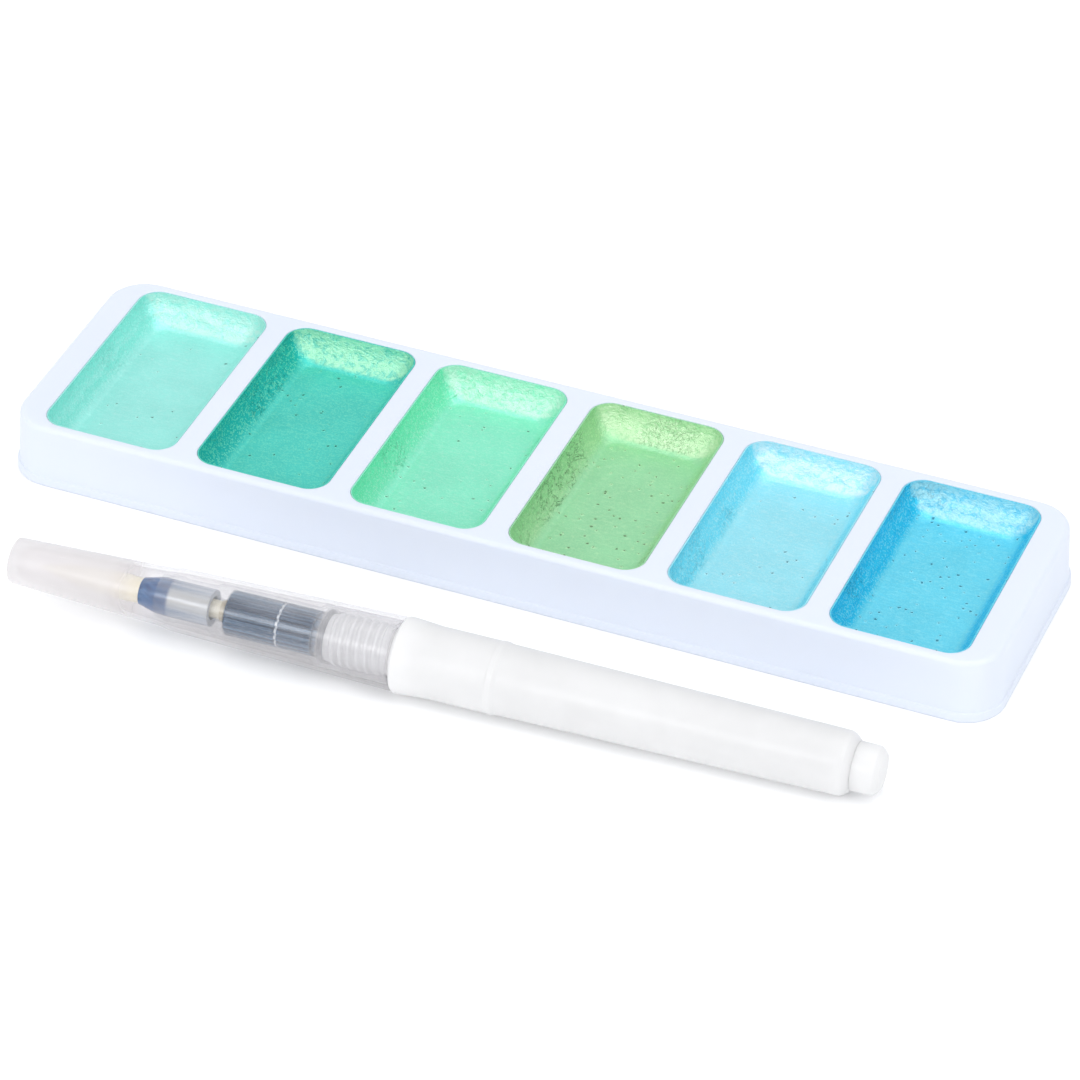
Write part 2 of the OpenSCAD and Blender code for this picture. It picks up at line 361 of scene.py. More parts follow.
def pearl_paint(name, base, deep, light, rear_highlight, pores, flakes):
    """Dried pearl watercolour: mica flakes, fine orange peel and pinholes, with painted shade on the
    walls and in the pinholes and cracks.

    The pale tone laid in patches on the rear wall, which faces the front light, is a painted highlight.
    """
    m = Nodes("paint_" + name)
    normal = m.add("ShaderNodeTexCoord").outputs["Normal"]
    facing = m.add("ShaderNodeSeparateXYZ", {0: normal}).outputs
    wall = m.ramp(facing["Z"], 0.985, 0.68)
    rear = m.ramp(facing["Y"], -0.36, -0.62)
    patch = m.noise(700, 4, 0.65, stretch=(1.0, 1.4, 1.4), distortion=0.8)
    # painted highlight: where the rear wall, facing the front light, gets its pale tone, in patches
    rear_highlight_share = m.math("MULTIPLY", rear, m.ramp(patch, 0.36, 0.56, 0.40, 0.95))
    cloud = m.noise(110, 4, 0.55)
    streak = m.noise(1150, 4, 0.6, stretch=(0.5, 1.5, 1.0), distortion=0.5)
    peel = m.noise(1500, 3, 0.55, stretch=(0.65, 1.25, 1.0))
    grain = m.noise(3600, 2, 0.6)
    cells = m.add("ShaderNodeTexVoronoi", {"Vector": m.place, "Scale": 4200.0}, feature="F1")
    flake = m.add("ShaderNodeSeparateXYZ", {0: cells.outputs["Color"]}).outputs["Y"]
    flake_share = m.ramp(wall, 0.0, 1.0, flakes * 0.25, flakes * 0.6)
    shine = m.math("MULTIPLY", m.ramp(flake, 0.66, 0.74), flake_share)
    holes = m.add("ShaderNodeTexVoronoi", voronoi_dimensions="2D", feature="F1")
    wander = m.add("ShaderNodeTexNoise", {"Vector": m.place, "Scale": 2600.0}).outputs["Color"]
    ragged = m.add("ShaderNodeVectorMath", {0: wander, "Scale": 0.0006}, operation="SCALE").outputs[0]
    shaken = m.add("ShaderNodeVectorMath", {0: m.place, 1: ragged}).outputs[0]
    m.set(holes.inputs["Vector"], shaken)
    m.set(holes.inputs["Scale"], 760.0)
    chosen = m.add("ShaderNodeSeparateXYZ", {0: holes.outputs["Color"]}).outputs
    here = m.ramp(chosen["X"], 0.99 - pores, 1.0 - pores)
    here = m.math("MULTIPLY", here, m.ramp(wall, 0.6, 0.1))
    size = m.ramp(chosen["Z"], 0.0, 1.0, 0.09, 0.24)
    depth = m.math("SUBTRACT", 1.0, m.math("DIVIDE", holes.outputs["Distance"], size), clamp=True)
    pore = m.math("MULTIPLY", m.ramp(depth, 0.0, 0.5), here)
    lip = m.math("MULTIPLY", m.ramp(holes.outputs["Distance"], 0.34, 0.20), here)
    crack_field = m.noise(420, 5, 0.65, stretch=(1.3, 0.7, 1.0), distortion=1.2)
    crack_zone = m.math("MULTIPLY", m.ramp(m.noise(60, 1), 0.50, 0.58), m.ramp(wall, 0.15, 0.6))
    crack_line = m.math("ABSOLUTE", m.math("SUBTRACT", crack_field, 0.5))
    crack = m.math("MULTIPLY", m.ramp(crack_line, 0.014, 0.005), crack_zone)
    crack = m.math("MULTIPLY", crack, min(1.0, pores * 6))
    crack = m.math("MULTIPLY", crack, m.ramp(rear, 0.0, 1.0, 1.0, 0.25))
    tone = m.mix(m.ramp(cloud, 0.3, 0.7), rgba(base, 0.915), rgba(base, 0.985))
    tone = m.mix(m.math("MULTIPLY", m.ramp(streak, 0.50, 0.75), 0.22), tone, rgba(light))
    tone = m.mix(m.math("MULTIPLY", m.ramp(streak, 0.48, 0.25), 0.16), tone, rgba(deep))
    # painted shade: the walls take the deep tone
    tone = m.mix(m.math("MULTIPLY", wall, 0.82), tone, rgba(deep))
    tone = m.mix(shine, tone, rgba(light, 1.05))
    # painted highlight: the pale tone on the rear wall
    tone = m.mix(rear_highlight_share, tone, rgba(rear_highlight))
    tone = m.mix(m.math("MULTIPLY", lip, 0.25), tone, rgba(light))
    # painted shade: the pinholes and cracks are darkened
    tone = m.mix(m.math("MULTIPLY", pore, 0.80), tone, rgba(deep, 0.30))
    tone = m.mix(m.math("MULTIPLY", crack, 0.60), tone, rgba(deep, 0.30))
    relief = m.bump(peel, m.ramp(wall, 0.0, 1.0, 0.34, 0.60), 0.00022)
    relief = m.bump(grain, m.ramp(wall, 0.0, 1.0, 0.24, 0.95), 0.00012, relief)
    relief = m.bump(patch, m.math("MULTIPLY", rear, 0.6), 0.0003, relief)
    relief = m.bump(m.math("SUBTRACT", m.math("MULTIPLY", lip, 0.4), pore), 0.7, 0.0002, relief)
    relief = m.bump(m.math("MULTIPLY", crack, -1.0), 0.8, 0.0002, relief)
    m.shade(
        Base_Color=tone,
        Metallic=m.ramp(shine, 0.0, 1.0, 0.50, 0.9),
        Specular_IOR_Level=0.25,
        Roughness=m.ramp(grain, 0.3, 0.7, 0.30, 0.46),
        Normal=relief,
        Coat_Weight=0.03,
        Coat_Roughness=0.28,
    )
    return m.material


def shell_plastic(name, tint, passed, veil, veil_at, roughness):
    """Thin see-through plastic: some light passes, some is held up as a milky veil.

    veil is (start, rise): the veil head on and how much it gains edge on. veil_at gives
    (s, veil, s, veil), between which the veil head on changes along the brush.
    """
    m = Nodes(name)
    m.place_on_brush()
    flow = m.noise(420, 3, 0.5, stretch=(1, 1, 0.08))
    cloud = m.noise(130, 2, stretch=(1, 1, 0.5))
    scuff = m.noise(1500, 4, 0.65, stretch=(1, 1, 0.12), distortion=0.4)
    facing = m.add("ShaderNodeLayerWeight", {"Blend": 0.30}).outputs["Facing"]
    start, rise = veil
    if veil_at:
        low_s, low_veil, high_s, high_veil = veil_at
        start = m.ramp(m.along, low_s * MM, high_s * MM, low_veil, high_veil)
    held = m.math("ADD", start, m.math("MULTIPLY", facing, rise))
    held = m.math("ADD", held, m.ramp(cloud, 0.3, 0.7, -0.015, 0.015))
    held = m.math("ADD", held, m.ramp(scuff, 0.60, 0.80, 0.0, 0.05), clamp=True)
    m.shade(
        Base_Color=m.mix(m.ramp(flow, 0.35, 0.65), rgba(tint, 0.98), rgba(tint)),
        Roughness=m.ramp(flow, 0.3, 0.7, roughness + 0.10, roughness + 0.22),
        IOR=1.49,
        Normal=m.bump(flow, 0.10, 0.0001),
        Coat_Weight=0.08,
        Coat_Roughness=0.20,
    )
    clear = m.add("ShaderNodeBsdfTransparent", {"Color": rgba(passed)})
    gloss = m.add("ShaderNodeBsdfGlossy", {"Color": (1, 1, 1, 1), "Roughness": roughness,
                                           "Normal": m.bump(flow, 0.15, 0.0001)})
    grazing = m.add("ShaderNodeLayerWeight", {"Blend": 0.5}).outputs["Facing"]
    rim = m.math("ADD", m.math("MULTIPLY", m.math("POWER", grazing, 3.0), 0.14), 0.008)
    body = m.add("ShaderNodeMixShader", {0: held, 1: clear.outputs[0], 2: m.shader.outputs[0]})
    whole = m.add("ShaderNodeMixShader", {0: rim, 1: body.outputs[0], 2: gloss.outputs[0]})
    output = next(n for n in m.tree.nodes if n.type == "OUTPUT_MATERIAL")
    m.tree.links.new(whole.outputs[0], output.inputs["Surface"])
    return m.material


def frosted_plastic(name, tint, glow):
    """Soft frosted polyethylene: white, waxy, with a faint grain and a broad soft shine."""
    m = Nodes(name)
    m.place_on_brush()
    flow = m.noise(300, 3, 0.5, stretch=(1, 1, 0.1))
    cloud = m.noise(70, 3)
    frost = m.noise(4200, 2)
    m.shade(
        Base_Color=m.mix(m.ramp(cloud, 0.3, 0.7), rgba(tint, 0.985), rgba(tint)),
        Roughness=m.ramp(flow, 0.3, 0.7, 0.30, 0.46),
        Normal=m.bump(frost, 0.12, 0.00005, m.bump(flow, 0.10, 0.0002)),
        IOR=1.5,
        Subsurface_Weight=glow,
        Subsurface_Radius=(0.004, 0.004, 0.004),
        Subsurface_Scale=1.0,
        Alpha=m.ramp(cloud, 0.3, 0.7, 0.90, 0.95),
    )
    return m.material


def dark_plastic(name, base, light, roughness, glint_ring_s=None, pale_core_s=None):
    """Coloured plastic, rubber or resin with fine lighter and darker streaks along the brush.

    Where given, the first s places a pale ring round it, a painted highlight. Past the second s it turns
    pale: down the middle a painted highlight, which also stands for the cream core inside, and at the
    edges painted shade.
    """
    m = Nodes(name)
    m.place_on_brush()
    lines = m.noise(2300, 4, 0.7, stretch=(1, 1, 0.015))
    cloud = m.noise(180, 2)
    tone = m.mix(m.ramp(lines, 0.42, 0.58), rgba(base), rgba(light))
    if glint_ring_s:
        # painted highlight: a pale ring round the brush at this s
        away = m.math("ABSOLUTE", m.math("SUBTRACT", m.along, glint_ring_s * MM))
        tone = m.mix(m.ramp(away, 0.26 * MM, 0.16 * MM), tone, (0.80, 0.85, 0.90, 1))
    if pale_core_s:
        # painted highlight down the middle, which also stands for the cream core inside, and painted
        # shade at the edges, by how squarely the surface faces the view
        edge_on = m.add("ShaderNodeLayerWeight", {"Blend": 0.5}).outputs["Facing"]
        far = m.ramp(m.along, pale_core_s * MM, (pale_core_s + 9) * MM)
        edge = m.mix(far, (0.16, 0.24, 0.36, 1), (0.42, 0.47, 0.54, 1))
        pale_core_tone = m.mix(m.ramp(edge_on, 0.04, 0.30), (0.60, 0.60, 0.58, 1), edge)
        pale_streaks = m.math("MULTIPLY", m.ramp(lines, 0.46, 0.60), 0.55)
        pale_core_tone = m.mix(pale_streaks, pale_core_tone, (0.66, 0.70, 0.75, 1))
        tone = m.mix(m.ramp(m.along, pale_core_s * MM, (pale_core_s + 0.9) * MM), tone, pale_core_tone)
    m.shade(
        Base_Color=tone,
        Roughness=m.ramp(cloud, 0.3, 0.7, roughness - 0.05, roughness + 0.08),
        Normal=m.bump(lines, 0.35, 0.0001),
        IOR=1.5,
        Coat_Weight=0.3,
        Coat_Roughness=0.15,
    )
    return m.material


def fibre(name, base, light):
    """Nylon filaments: fine strands along the brush with a soft sheen."""
    m = Nodes(name)
    m.place_on_brush()
    strand = m.noise(2600, 3, 0.6, stretch=(1, 1, 0.05))
    m.shade(
        Base_Color=m.mix(m.ramp(strand, 0.3, 0.7), rgba(base), rgba(light)),
        Roughness=m.ramp(strand, 0.3, 0.7, 0.38, 0.55),
        Normal=m.bump(strand, 0.3, 0.00005),
        Sheen_Weight=0.25,
        Sheen_Roughness=0.4,
    )
    return m.material


# ---------------------------------------------------------------- tray


def tray_outline(z, grow, r):
    """Outline of the leaning skirt at height z, moved outward by grow."""
    down = 1 - z / TRAY_H
    top_half_l = FOOT_HALF_L - FOOT_LIP - END_LEAN
    top_half_w = FOOT_HALF_W - FOOT_LIP - SIDE_LEAN
    return rounded_outline(
        top_half_l + END_LEAN * down + grow, top_half_w + SIDE_LEAN * down + grow, r, 96, 48)


def build_tray():
    bm = bmesh.new()
    # the outside, from the top face's border down to the foot and up the inner skirt
    steps = [(-TOP_EDGE_R * (1 - math.sin(a)), TRAY_H - TOP_EDGE_R * (1 - math.cos(a)))
             for a in np.linspace(0, math.pi / 2, 7)]
    lip_edge = 0.22
    steps += [(0, TRAY_H * 0.6), (0, FOOT_H + 0.5)]
    steps += [(0.05, FOOT_H + 0.16), (FOOT_LIP - lip_edge, FOOT_H)]
    steps += [(FOOT_LIP - lip_edge * (1 - math.sin(a)), FOOT_H - lip_edge * (1 - math.cos(a)))
              for a in np.linspace(0.4, math.pi / 2, 4)]
    steps += [(FOOT_LIP - 0.02, 0.4), (FOOT_LIP - 0.08, 0.12), (FOOT_LIP - 0.3, 0)]
    steps += [(0.25 - SKIRT_WALL, 0), (0.05 - SKIRT_WALL, 0.08), (-SKIRT_WALL, 0.3)]
    steps += [(-SKIRT_WALL, CUP_FLOOR_Z - 0.4), (-SKIRT_WALL - 0.4, CUP_FLOOR_Z)]
    rings = [ring_at(tray_outline(z, grow, TRAY_CORNER_R + grow), z, 0, TRAY_MIDDLE_Y)
             for grow, z in steps]
    skirt = loft(bm, rings)
    top_holes = [skirt[0]]
    for name in PAINT_NAMES:
        x, _, half_l, half_w, _ = paint_place(name)
        well = [(RIM_EDGE_R * (1 - math.sin(a)), TRAY_H - RIM_EDGE_R * (1 - math.cos(a)))
                for a in np.linspace(0, math.pi / 2, 5)]
        well += [(-WELL_LEAN, TRAY_H - WELL_DEPTH)]
        rings = [ring_at(rounded_outline(half_l + grow, half_w + grow, WELL_R + grow, 48, 80),
                         z, x, TRAY_MIDDLE_Y) for grow, z in well]
        cup = loft(bm, rings)
        top_holes.append(cup[0])
        bm.faces.new(cup[-1])
    fill_between(bm, top_holes)
    # slots in the underside, between the cups and beside the end ones
    roof_holes = [skirt[-1]]
    inner_end = FOOT_HALF_L - FOOT_LIP - END_LEAN - SKIRT_WALL
    edges = [-inner_end]
    for name in PAINT_NAMES:
        x, _, half_l, _, _ = paint_place(name)
        edges += [x - half_l - SKIRT_WALL, x + half_l + SKIRT_WALL]
    edges += [inner_end]
    slot_half_w = FOOT_HALF_W - FOOT_LIP - SKIRT_WALL - 1.2
    for low_x, high_x in zip(edges[::2], edges[1::2]):
        half_l = (high_x - low_x) / 2
        slot = [(0.3, CUP_FLOOR_Z), (0.08, CUP_FLOOR_Z + 0.1), (0, CUP_FLOOR_Z + 0.35),
                (-0.1, TRAY_H - SKIRT_WALL)]
        rings = [ring_at(rounded_outline(half_l + grow, slot_half_w + grow,
                                         min(half_l, 1.2) * 0.9 + grow, 8, 60),
                         z, (low_x + high_x) / 2, TRAY_MIDDLE_Y) for grow, z in slot]
        pocket = loft(bm, rings)
        roof_holes.append(pocket[0])
        bm.faces.new(pocket[-1])
    fill_between(bm, roof_holes)
    tray = make_object("tray_moulding", bm, tray_plastic(), "root", ["tray"], 50)
    weight_normals(tray)


# ---------------------------------------------------------------- paints


def paint_relief(place, seed, wall, tide):
    """How far the paint's surface stands out at a place, in millimetres."""
    p = Vector((place.x, place.y, seed * 37.0))
    swell = noise.noise(p * 0.13) * 0.08
    ripple = noise.noise(Vector((p.x * 0.8, p.y * 1.5, p.z))) * 0.018
    lumps = noise.noise(Vector((p.x * 0.9, p.y * 0.9, p.z + place.z))) * 0.09 * wall
    crumbs = noise.noise(Vector((p.x * 2.3, p.y * 2.3, p.z + place.z * 2))) * 0.05 * wall
    height = wall + 0.14 * noise.noise(Vector((p.x * 0.35, p.y * 0.35, p.z)))
    ridge = math.exp(-(((height - 0.55) / 0.10) ** 2)) * tide
    return swell * (1 - wall) + ripple + lumps + crumbs + ridge


def build_paint(index, name, material, tide):
    x, y, half_l, half_w, floor_z = paint_place(name)
    cells_l, cells_w = 56, 96
    bm = bmesh.new()

    def outline(inset, r):
        return rounded_outline(half_l - inset, half_w - inset, r, cells_l, cells_w)

    # the outside of the cast block, then the dish from its rim inward
    rings = [ring_at(outline(WELL_LEAN, WELL_R - WELL_LEAN), floor_z, x, y),
             ring_at(outline(0.02, WELL_R), PAINT_TOP_Z - 0.1, x, y),
             ring_at(outline(0.06, WELL_R), PAINT_TOP_Z, x, y)]
    climb_steps = 26
    for k in range(climb_steps + 1):
        a = math.pi / 2 * k / climb_steps
        inset = PAINT_COAT + PAINT_CLIMB * (1 - math.cos(a)) ** 0.78
        drop = PAINT_DROP * math.sin(a)
        r = max(WELL_R - PAINT_COAT - inset / 3, 1.2)
        wall = 1 - k / climb_steps
        ring = []
        flat = outline(inset, r)
        for p, q in zip(flat, outline(inset + 0.5, max(r - 0.2, 1.0))):
            inward = Vector((q.x - p.x, q.y - p.y, 0)).normalized()
            spot = Vector((p.x + x, p.y + y, PAINT_TOP_Z - drop))
            push = paint_relief(spot, index, wall, tide) * min(1, k / 2)
            spot += (inward * math.cos(a) + Vector((0, 0, 1)) * math.sin(a)) * push
            ring.append(spot)
        rings.append(ring)
    made = loft(bm, rings)
    bm.faces.new(made[0])
    # the floor of the dish as a grid whose border is the last ring
    border = made[-1]
    grid = [[None] * (cells_w + 1) for _ in range(cells_l + 1)]
    for k in range(cells_l):
        grid[k][0] = border[k]
        grid[cells_l - k][cells_w] = border[cells_l + cells_w + k]
    for k in range(cells_w):
        grid[cells_l][k] = border[cells_l + k]
        grid[0][cells_w - k] = border[2 * cells_l + cells_w + k]
    for i in range(1, cells_l):
        for j in range(1, cells_w):
            u, v = i / cells_l, j / cells_w
            west, east = grid[0][j].co, grid[cells_l][j].co
            south, north = grid[i][0].co, grid[i][cells_w].co
            spot = west.lerp(east, u) + south.lerp(north, v)
            spot -= grid[0][0].co.lerp(grid[cells_l][0].co, u).lerp(
                grid[0][cells_w].co.lerp(grid[cells_l][cells_w].co, u), v)
            spot.z = PAINT_TOP_Z - PAINT_DROP
            spot.z += paint_relief(spot, index, 0, tide)
            grid[i][j] = bm.verts.new(spot)
    for i in range(cells_l):
        for j in range(cells_w):
            bm.faces.new((grid[i][j], grid[i + 1][j], grid[i + 1][j + 1], grid[i][j + 1]))
    make_object("dried_paint_" + name, bm, material, "root", ["paint_" + name],
                60)


# tones are linear, the pale tone on the rear walls a painted highlight; pores and flakes are shares of
# the surface, tide the height of the line in mm
PAINTS = {
    "aqua": dict(base=(0.36, 0.86, 0.79), deep=(0.31, 0.83, 0.75), light=(0.68, 0.97, 0.92),
                 rear_highlight=(0.56, 0.85, 0.78), pores=0.03, flakes=0.35, tide=0.20),
    "teal": dict(base=(0.09, 0.65, 0.56), deep=(0.0, 0.46, 0.43), light=(0.32, 0.93, 0.66),
                 rear_highlight=(0.46, 0.87, 0.61), pores=0.06, flakes=0.65, tide=0.0),
    "mint": dict(base=(0.28, 0.86, 0.62), deep=(0.19, 0.81, 0.51), light=(0.66, 0.97, 0.80),
                 rear_highlight=(0.58, 0.89, 0.73), pores=0.06, flakes=0.45, tide=0.0),
    "leaf": dict(base=(0.34, 0.73, 0.42), deep=(0.36, 0.68, 0.36), light=(0.72, 0.96, 0.60),
                 rear_highlight=(0.60, 0.84, 0.54), pores=0.16, flakes=0.40, tide=0.0),
    "sky": dict(base=(0.35, 0.81, 0.92), deep=(0.18, 0.74, 0.90), light=(0.78, 0.97, 1.0),
                rear_highlight=(0.66, 0.86, 0.92), pores=0.05, flakes=0.40, tide=0.20),
    "azure": dict(base=(0.15, 0.69, 0.87), deep=(0.0, 0.52, 0.80), light=(0.50, 0.94, 1.0),
                  rear_highlight=(0.45, 0.79, 0.86), pores=0.14, flakes=0.45, tide=0.20),
}

build_tray()
for index, (name, look) in enumerate(PAINTS.items()):
    tide = look.pop("tide")
    build_paint(index, name, pearl_paint(name, **look), tide)

# ---------------------------------------------------------------- water brush

CAP_TIP_S = -1.05
CAP_END_S = 70.9
SLEEVE_FRONT_S = 26.6
SKIRT_S = 56.2
SKIRT_END_S = 70.3
SEAL_S = 57.75
NECK_S = 58.3
COLLAR_S = 72.1
GRIP_S = 77.7
RING_S = 89.3
SHOULDER_S = 151.65
BARREL_END_S = 153.15
PLUG_ROOT_S = 149.4
BRUSH_END_S = 158.05
THREAD_PITCH = 1.55
THREAD_ROOT_R = 4.15
THREAD_CREST_R = 4.65
THREAD_START_S, THREAD_END_S = 59.6, 68.1
BORE_THREAD_R = THREAD_ROOT_R + 0.17
FEED_R = 4.02


def thread_rise(s, angle, start, end):
    """Share of the thread's height at a place on the neck, 0 at the root, 1 at the crest."""
    phase = (s / THREAD_PITCH - angle / (2 * math.pi) + 0.5) % 1 - 0.5
    width = abs(phase) * THREAD_PITCH
    rise = min(max((0.55 - width) / 0.33, 0), 1)
    run_in = min(max((s - start) / 0.8, 0), 1) * min(max((end - s) / 0.8, 0), 1)
    return rise * run_in


def neck_radius(r, s, angle):
    if abs(r - THREAD_ROOT_R) > 0.01 or not THREAD_START_S - 0.6 < s < THREAD_END_S + 0.6:
        return r
    rise = thread_rise(s, angle, THREAD_START_S - 0.5, THREAD_END_S + 0.5)
    return r + (THREAD_CREST_R - THREAD_ROOT_R) * rise


def bore_radius(r, s, angle):
    if abs(r - BORE_THREAD_R) > 0.01:
        return r
    return r + (THREAD_CREST_R - THREAD_ROOT_R) * thread_rise(s, angle, SEAL_S, SKIRT_END_S + 2)


def dense(r, start, end, step=0.11):
    """Straight stretch of profile with a point every step."""
    count = max(int(abs(end - start) / step), 1)
    return [(r, start + (end - start) * k / count, 0) for k in range(count + 1)]


cap_profile = [
    (0, CAP_TIP_S, 0), (3.2, CAP_TIP_S + 0.02, 0.3), (4.08, CAP_TIP_S + 0.1, 0.9),
    (5.14, 26.8, 0), (5.2, 28.0, 0.4), (5.57, 29.8, 0.8), (6.58, CAP_END_S - 0.15, 0.12),
    (6.45, CAP_END_S, 0.12), (5.78, CAP_END_S, 0.1), (5.53, SKIRT_S, 0), (5.43, SKIRT_S - 0.6, 0.3),
    (4.77, 30.4, 0.6), (4.39, 26.8, 0.5), (3.1, CAP_TIP_S + 2.2, 0.8), (2.5, CAP_TIP_S + 1.4, 0.5),
    (0, CAP_TIP_S + 1.4, 0)]
brush_piece("cap", [(cap_profile, False)],
            shell_plastic("cap_plastic", (0.755, 0.73, 0.738), (0.97, 0.965, 0.97), (0.06, 0.26),
                          (17, 0.50, 24.5, 0.035), 0.24),
            "cap", 160, clear=True)

sleeve_profile = [
    (3.32, SLEEVE_FRONT_S, 0.05), (3.75, SLEEVE_FRONT_S, 0.15), (3.85, 26.9, 0.1), (3.85, 28.3, 0.1),
    (4.2, 28.4, 0.1), (4.2, 28.9, 0.1), (4.0, 29.0, 0.1), (4.0, 29.5, 0.1), (4.2, 29.6, 0.1),
    (4.2, 30.1, 0.1), (4.0, 30.2, 0.1), (4.0, 35.3, 0.1), (4.12, 35.4, 0.1), (4.12, 35.8, 0.1),
    (4.0, 35.9, 0.1), (4.0, 36.4, 0.2), (4.65, 37.4, 0.4), (4.7, SKIRT_S - 0.3, 0.2),
    (5.2, SKIRT_S, 0.2), (5.44, SKIRT_S + 0.3, 0.15), (5.66, SKIRT_END_S - 0.2, 0.1),
    (5.5, SKIRT_END_S, 0.1), (4.95, SKIRT_END_S, 0.05)]
sleeve_profile += dense(BORE_THREAD_R, SKIRT_END_S - 0.7, SEAL_S + 0.65)
sleeve_profile += [
    (4.9, SEAL_S + 0.65, 0.05), (4.9, SEAL_S - 0.55, 0.05), (3.6, SEAL_S - 0.55, 0.1),
    (3.6, SKIRT_S, 0.1), (4.05, SKIRT_S, 0.1), (4.05, 39.6, 0.1), (2.0, 39.6, 0.1),
    (2.0, 37.4, 0.1), (3.32, 36.6, 0.1)]
brush_piece("head_sleeve", [(sleeve_profile, True)],
            shell_plastic("sleeve_plastic", (0.95, 0.955, 0.965), (0.975, 0.98, 0.985), (0.01, 0.22),
                          (55.6, 0.01, 57.5, 0.15), 0.14),
            "head", 144, bore_radius, clear=True)

barrel_profile = [(3.55, NECK_S, 0.1), (THREAD_ROOT_R, NECK_S, 0.1)]
barrel_profile += dense(THREAD_ROOT_R, NECK_S + 0.4, COLLAR_S - 2.1)
barrel_profile += [
    (4.8, COLLAR_S - 1.4, 0.2), (4.8, COLLAR_S - 0.8, 0.1), (6.5, COLLAR_S - 0.8, 0.1),
    (6.77, COLLAR_S - 0.45, 0.25), (6.77, COLLAR_S + 0.5, 0.4), (6.6, COLLAR_S + 2.9, 1.0),
    (6.41, GRIP_S, 1.0), (6.41, RING_S - 0.9, 0.3), (6.5, RING_S - 0.6, 0.2), (6.5, RING_S + 0.4, 0.2),
    (6.29, RING_S + 1, 0.3), (5.67, SHOULDER_S - 0.4, 0.8), (5.42, SHOULDER_S + 0.3, 0.5),
    (4.92, SHOULDER_S + 0.95, 0.5), (4.4, BARREL_END_S, 0.04), (3.6, BARREL_END_S, 0.1),
    (3.6, SHOULDER_S, 0.2), (4.77, SHOULDER_S - 1.2, 0.8), (5.39, RING_S + 1, 0.4),
    (5.51, GRIP_S, 0.5), (5.51, COLLAR_S + 3, 0.5), (3.55, COLLAR_S + 1, 0.3)]
brush_piece("barrel", [(barrel_profile, True)],
            frosted_plastic("barrel_plastic", (0.82, 0.815, 0.82), 0.35),
            "brush", 144, neck_radius)

plug_profile = [
    (0, PLUG_ROOT_S, 0), (3.2, PLUG_ROOT_S, 0.2), (3.57, PLUG_ROOT_S + 0.5, 0.2),
    (3.57, BARREL_END_S + 0.02, 0.03), (4.35, BARREL_END_S + 0.02, 0.04),
    (4.32, BRUSH_END_S - 1.1, 1.0), (3.3, BRUSH_END_S - 0.05, 0.6), (0, BRUSH_END_S, 0)]
brush_piece("tail_plug", [(plug_profile, False)],
            frosted_plastic("plug_plastic", (0.80, 0.797, 0.80), 0.35),
            "brush", 128)

ferrule_profile = [
    (2.2, 23.2, 0.05), (2.45, 23.2, 0.1), (3.3, SLEEVE_FRONT_S, 0.2), (3.3, 36.5, 0.1), (2.1, 36.5, 0.1),
    (1.8, 34, 0), (1.65, 32, 0), (1.95, 27, 0)]
brush_piece("ferrule", [(ferrule_profile, True)],
            dark_plastic("ferrule_plastic", (0.008, 0.060, 0.20), (0.035, 0.14, 0.33), 0.16,
                         pale_core_s=28.4),
            "head", 96)

FLUTES = 18
FLUTE_STEPS = 8


def fluted_radius(r, s, angle):
    if r < FEED_R - 0.25 or not 39.9 < s < 55.6:
        return r
    step = int(round(angle / (2 * math.pi) * FLUTES * FLUTE_STEPS)) % FLUTE_STEPS
    return r - 0.55 if step in (0, 1, 7) else r


feed_profile = [
    (1.3, 39.7, 0.05), (FEED_R - 0.3, 39.7, 0.1), (FEED_R, 40.0, 0.1), (FEED_R, 49.1, 0.03),
    (FEED_R - 0.2, 49.2, 0.03), (FEED_R - 0.2, 49.6, 0.03), (FEED_R, 49.7, 0.03),
    (FEED_R, 55.2, 0.05), (FEED_R, 55.9, 0.05), (3.5, 56.0, 0.1), (3.5, SEAL_S + 2.4, 0.2),
    (1.3, SEAL_S + 2.4, 0.1)]
brush_piece("feed", [(feed_profile, True)],
            dark_plastic("feed_plastic", (0.0, 0.030, 0.085), (0.085, 0.190, 0.310), 0.30, 49.4),
            "head", FLUTES * FLUTE_STEPS, fluted_radius)

ring_profile = [(4.25 + 0.5 * math.cos(a), SEAL_S + 0.5 * math.sin(a), 0)
                for a in np.linspace(0, 2 * math.pi, 25)[:-1]]
brush_piece("o_ring", [(ring_profile, True)],
            dark_plastic("seal_rubber", (0.012, 0.025, 0.05), (0.02, 0.035, 0.065), 0.5),
            "seal", 96)

binder_profile = [(0, 38.2, 0), (1.9, 38.2, 0.1), (1.9, 39.3, 0.15), (1.6, 39.5, 0.1),
                  (0, 39.55, 0)]
brush_piece("bristle_binder", [(binder_profile, False)],
            dark_plastic("binder_resin", (0.66, 0.58, 0.42), (0.76, 0.69, 0.54), 0.3),
            "head", 64)


def tuft_reach(s):
    """Outer radius of the tuft at s."""
    places = [3.6, 4.4, 6.2, 9.2, 13, 17, 20, 23.2, 27, 32, 38.2]
    radii = [0.06, 0.35, 0.9, 1.5, 2.0, 2.27, 2.35, 2.2, 1.93, 1.62, 1.6]
    return float(np.interp(s, places, radii))


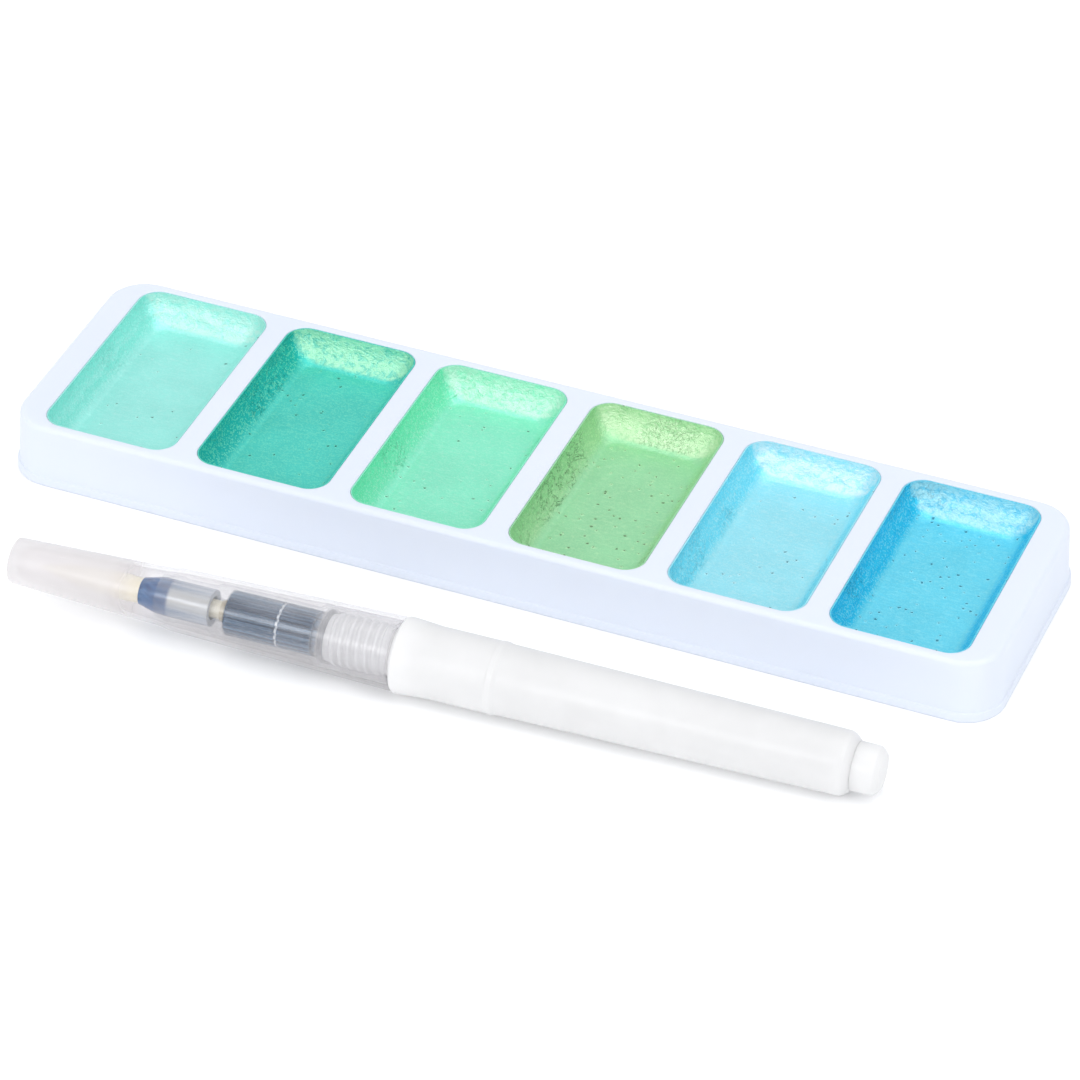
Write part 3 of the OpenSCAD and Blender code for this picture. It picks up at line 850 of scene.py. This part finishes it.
def build_tuft():
    """Tuft of separate filaments round a solid core, drawn to a point."""
    bm = bmesh.new()
    core = [(0, 4.6, 0)] + [(tuft_reach(s) * 0.9, s, 0) for s in np.linspace(5, 38.2, 24)]
    turned(bm, [p[:2] for p in core + [(0, 38.2, 0)]], 48)
    count = 170
    sides = 5
    for k in range(count):
        around = 2.399963 * k
        wobble = noise.noise(Vector((k * 0.7, 3.1, 0))) * 0.3
        start_s = 3.6 + 1.6 * (noise.noise(Vector((k * 0.9, 7.7, 0))) + 0.5) ** 2
        rings = []
        for s in np.linspace(start_s, 38.15, 26):
            reach = tuft_reach(s) - 0.07
            a = around + wobble * math.sin(s * 0.12)
            thick = 0.075 * min(1, 0.25 + (s - start_s) / 8)
            centre = Vector((reach * math.cos(a), reach * math.sin(a), s))
            outward = Vector((math.cos(a), math.sin(a), 0))
            sideways = Vector((-math.sin(a), math.cos(a), 0))
            rings.append([centre + outward * thick * math.cos(t) + sideways * thick * 1.3 * math.sin(t)
                          for t in np.linspace(0, 2 * math.pi, sides + 1)[:-1]])
        made = loft(bm, rings)
        bm.faces.new(made[0])
        bm.faces.new(made[-1])
    make_object("bristle_tuft", bm, fibre("bristle_fibre", (0.86, 0.80, 0.62), (0.95, 0.91, 0.78)),
                "head", ["bristles"], 60, BRUSH_MATRIX)


build_tuft()

# ---------------------------------------------------------------- floor, light and camera


def build_floor():
    mesh = bpy.data.meshes.new("floor")
    mesh.from_pydata([(-6, -6, 0), (6, -6, 0), (6, 6, 0), (-6, 6, 0)], [], [(0, 1, 2, 3)])
    floor = bpy.data.objects.new("floor", mesh)
    floor.location.z = -0.00002
    bpy.context.scene.collection.objects.link(floor)
    m = Nodes("floor_white")
    m.shade(Base_Color=m.mix(m.noise(3, 2), (0.955, 0.957, 0.962, 1), (0.965, 0.967, 0.970, 1)),
            Roughness=0.9, Specular_IOR_Level=0.1, Emission_Color=(1, 1, 1, 1),
            Emission_Strength=0.07)
    mesh.materials.append(m.material)


def area_light(name, place, size, power):
    """White rectangular softbox aimed at the middle of the set."""
    light = bpy.data.lights.new(name, "AREA")
    light.shape = "RECTANGLE"
    light.size, light.size_y = size
    light.energy = power
    lamp = bpy.data.objects.new(name, light)
    lamp.location = place
    lamp.rotation_euler = (-Vector(place)).to_track_quat("-Z", "Y").to_euler()
    bpy.context.scene.collection.objects.link(lamp)


def build_camera():
    """Long lens from the front right, well above the set."""
    azimuth = math.radians(21.933)
    elevation = math.radians(37.543)
    roll = math.radians(0.536)
    aim = Vector((2.5167, 11.838, 0)) * MM
    distance = 990.98 * MM
    back = Vector((math.sin(azimuth) * math.cos(elevation),
                   -math.cos(azimuth) * math.cos(elevation), math.sin(elevation)))
    data = bpy.data.cameras.new("camera")
    data.lens = 185.12
    data.sensor_width = 36
    camera = bpy.data.objects.new("camera", data)
    camera.location = aim + back * distance
    facing = (-back).to_track_quat("-Z", "Y")
    camera.rotation_mode = "QUATERNION"
    camera.rotation_quaternion = facing @ Matrix.Rotation(roll, 3, "Z").to_quaternion()
    bpy.context.scene.collection.objects.link(camera)
    bpy.context.scene.camera = camera


def build_world():
    """Even pale surroundings, brightest towards the front."""
    world = bpy.data.worlds.new("studio")
    world.use_nodes = True
    tree = world.node_tree
    sky = tree.nodes["Background"]
    sky.inputs["Color"].default_value = (0.97, 0.985, 1.0, 1)
    heading = tree.nodes.new("ShaderNodeTexCoord")
    split = tree.nodes.new("ShaderNodeSeparateXYZ")
    fade = tree.nodes.new("ShaderNodeMapRange")
    tree.links.new(heading.outputs["Generated"], split.inputs[0])
    tree.links.new(split.outputs["Y"], fade.inputs["Value"])
    tree.links.new(fade.outputs["Result"], sky.inputs["Strength"])
    for name, value in (("From Min", -1), ("From Max", 1), ("To Min", 0.94), ("To Max", 0.74)):
        fade.inputs[name].default_value = value
    bpy.context.scene.world = world


build_floor()
build_camera()
build_world()
bpy.context.scene.view_settings.view_transform = "Standard"
area_light("front_softbox", place=(-0.35, -1.05, 0.75), size=(0.6, 0.4), power=3.4)
area_light("top_softbox", place=(0.1, 0.1, 1.3), size=(1.3, 1.0), power=4.5)
area_light("right_strip", place=(0.85, -0.30, 0.95), size=(0.25, 0.5), power=1.9)
